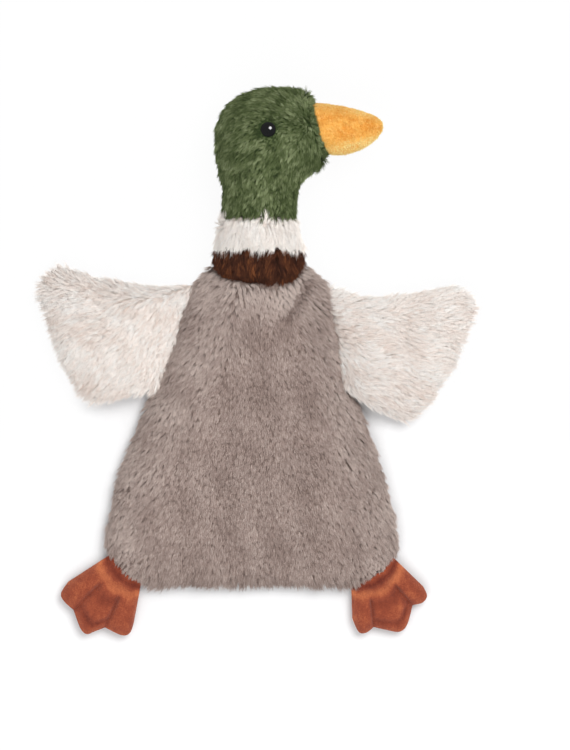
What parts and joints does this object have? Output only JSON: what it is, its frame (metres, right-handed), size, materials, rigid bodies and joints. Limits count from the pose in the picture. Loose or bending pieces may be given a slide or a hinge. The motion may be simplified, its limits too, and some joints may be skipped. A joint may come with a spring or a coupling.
{
  "type": "plush duck lovey",
  "caption": "Flat plush duck comforter with a stuffed neck and head, soft bill, fold-up wings and webbed feet, sewn from pile cloth panels.",
  "frame": {"origin": "on the flat back of the body, midway between the neckline and the hem", "axes": "+X to the right wing as seen from the front, +Y from the hem to the head, +Z out of the front of the body, up from the table"},
  "size_m": [0.2625, 0.3301, 0.0511],
  "materials": {
    "taupe_plush": "long pile plush, taupe grey",
    "cream_plush": "long pile plush, cream white",
    "white_plush": "long pile plush, warm white",
    "brown_plush": "long pile plush, dark brown",
    "green_plush": "long pile plush, mallard green",
    "yellow_velour": "short pile velour, yellow orange",
    "rust_suede": "napped suede cloth, rust orange",
    "polyester_fill": "loose polyester stuffing, white",
    "black_plastic": "polished black",
    "white_plastic": "plain moulded, milky white"
  },
  "bodies": {
    "body": {"body_front_panel": "taupe_plush", "body_back_panel": "taupe_plush", "body_filling": "polyester_fill"},
    "neck": {"chest_band": "brown_plush", "neck_ring": "white_plush", "neck_filling": "polyester_fill"},
    "head": {"head_front_panel": "green_plush", "head_back_panel": "green_plush", "head_filling": "polyester_fill", "bill_front_panel": "yellow_velour", "bill_back_panel": "yellow_velour", "bill_filling": "polyester_fill", "front_eye": "black_plastic", "back_eye": "black_plastic", "front_eye_washer": "white_plastic", "back_eye_washer": "white_plastic"},
    "left_wing": {"left_wing_front_panel": "cream_plush", "left_wing_back_panel": "cream_plush", "left_wing_filling": "polyester_fill"},
    "left_foot": {"left_foot_upper": "rust_suede", "left_foot_sole": "rust_suede", "left_foot_filling": "polyester_fill"},
    "right_wing": {"right_wing_front_panel": "cream_plush", "right_wing_back_panel": "cream_plush", "right_wing_filling": "polyester_fill"},
    "right_foot": {"right_foot_upper": "rust_suede", "right_foot_sole": "rust_suede", "right_foot_filling": "polyester_fill"}
  },
  "joints": [
    {"name": "neck_bend", "type": "hinge", "parent": "body", "child": "neck", "pos_m": [0.0042, 0.102, 0.016], "axis": [1, 0, 0], "range_deg": [-80, 75]},
    {"name": "head_turn", "type": "hinge", "parent": "neck", "child": "head", "pos_m": [0.0042, 0.1272, 0.02565], "axis": [0, 1, 0], "range_deg": [-60, 60]},
    {"name": "left_wing_fold", "type": "hinge", "parent": "body", "child": "left_wing", "pos_m": [-0.04824, 0.05631, 0.00605], "axis": [0.3505, 0.9366, 0], "range_deg": [-90, 95]},
    {"name": "right_wing_fold", "type": "hinge", "parent": "body", "child": "right_wing", "pos_m": [0.05248, 0.05621, 0.00605], "axis": [0.2322, -0.9727, 0], "range_deg": [-90, 95]},
    {"name": "left_foot_fold", "type": "hinge", "parent": "body", "child": "left_foot", "pos_m": [-0.0805, -0.08915, 0.00605], "axis": [-0.749, 0.6626, 0], "range_deg": [-90, 90]},
    {"name": "right_foot_fold", "type": "hinge", "parent": "body", "child": "right_foot", "pos_m": [0.07645, -0.09206, 0.00605], "axis": [-0.866, -0.5, 0], "range_deg": [-90, 90]}
  ]
}
